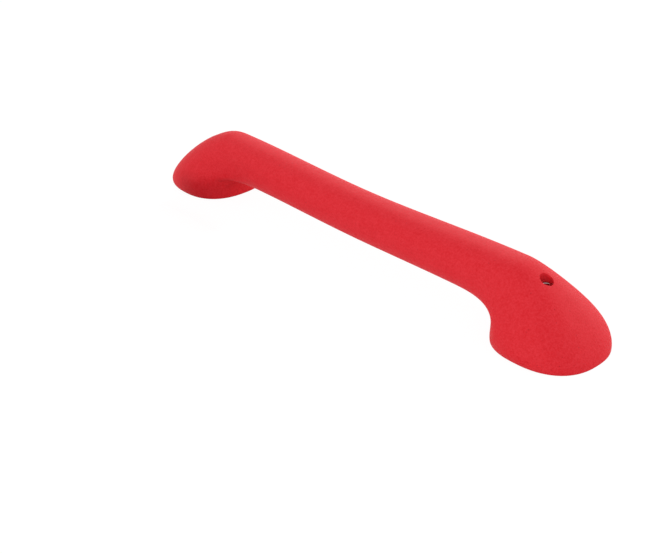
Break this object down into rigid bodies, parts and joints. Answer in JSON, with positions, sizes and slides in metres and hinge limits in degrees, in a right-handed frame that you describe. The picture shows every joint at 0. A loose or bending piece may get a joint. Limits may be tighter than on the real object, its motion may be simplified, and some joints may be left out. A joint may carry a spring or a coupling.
{
  "type": "climbing hold",
  "caption": "Bolt-on climbing hold: a round matte polyurethane bar that stands off the wall on flared feet, with a counterbored bolt hole and a steel washer in each foot.",
  "frame": {"origin": "in the wall plane, at the middle of the hold, halfway between its bolt holes", "axes": "+X along the bar, +Z away from the wall, Y across the bar"},
  "size_m": [0.7, 0.12, 0.0823],
  "materials": {
    "polyurethane": "cast polyurethane, saturated red, matte with a fine sand-like grain and a few tiny pores",
    "washer_steel": "zinc-plated steel washer"
  },
  "bodies": {
    "root": {"hold_body": "polyurethane", "right_washer": "washer_steel", "left_washer": "washer_steel"}
  },
  "joints": []
}
